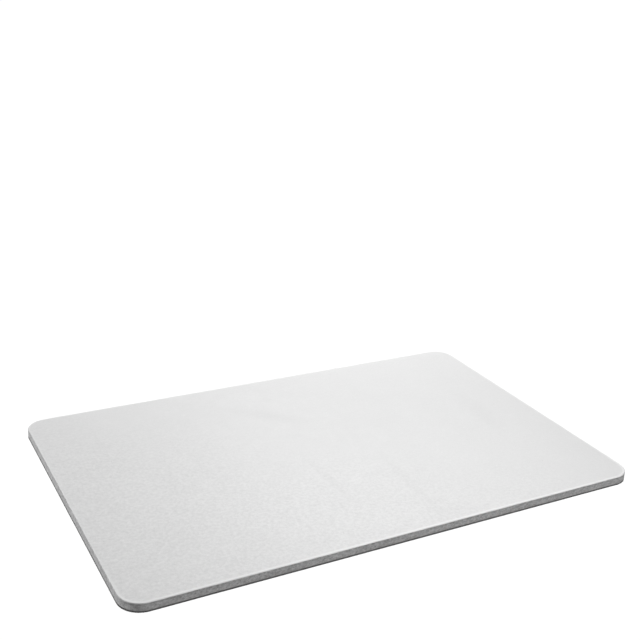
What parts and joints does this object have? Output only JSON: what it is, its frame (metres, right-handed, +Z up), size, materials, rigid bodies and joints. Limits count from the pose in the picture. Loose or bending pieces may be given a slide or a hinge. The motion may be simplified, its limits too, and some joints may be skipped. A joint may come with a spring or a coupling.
{
  "type": "bath mat",
  "caption": "Rigid rectangular stone bath mat with round corners: a flat, absorbent slab standing on thin round rubber grip pads.",
  "frame": {"origin": "on the floor under the centre of the slab, at the level of the grip pads' lower faces", "axes": "+X along the slab's length, towards its right end; +Y along its width, towards its back edge; +Z up, out of the standing surface"},
  "size_m": [0.6, 0.39, 0.01],
  "materials": {
    "diatomite": "pressed and sanded diatomaceous earth, dead matt, very fine pores",
    "rubber": "matt moulded rubber",
    "adhesive_film": "thin milky double-sided adhesive film"
  },
  "bodies": {
    "root": {"slab": "diatomite", "grip_pad_front_left": "rubber", "grip_pad_front_middle": "rubber", "grip_pad_front_right": "rubber", "grip_pad_back_left": "rubber", "grip_pad_back_middle": "rubber", "grip_pad_back_right": "rubber", "adhesive_disc_front_left": "adhesive_film", "adhesive_disc_front_middle": "adhesive_film", "adhesive_disc_front_right": "adhesive_film", "adhesive_disc_back_left": "adhesive_film", "adhesive_disc_back_middle": "adhesive_film", "adhesive_disc_back_right": "adhesive_film"}
  },
  "joints": []
}
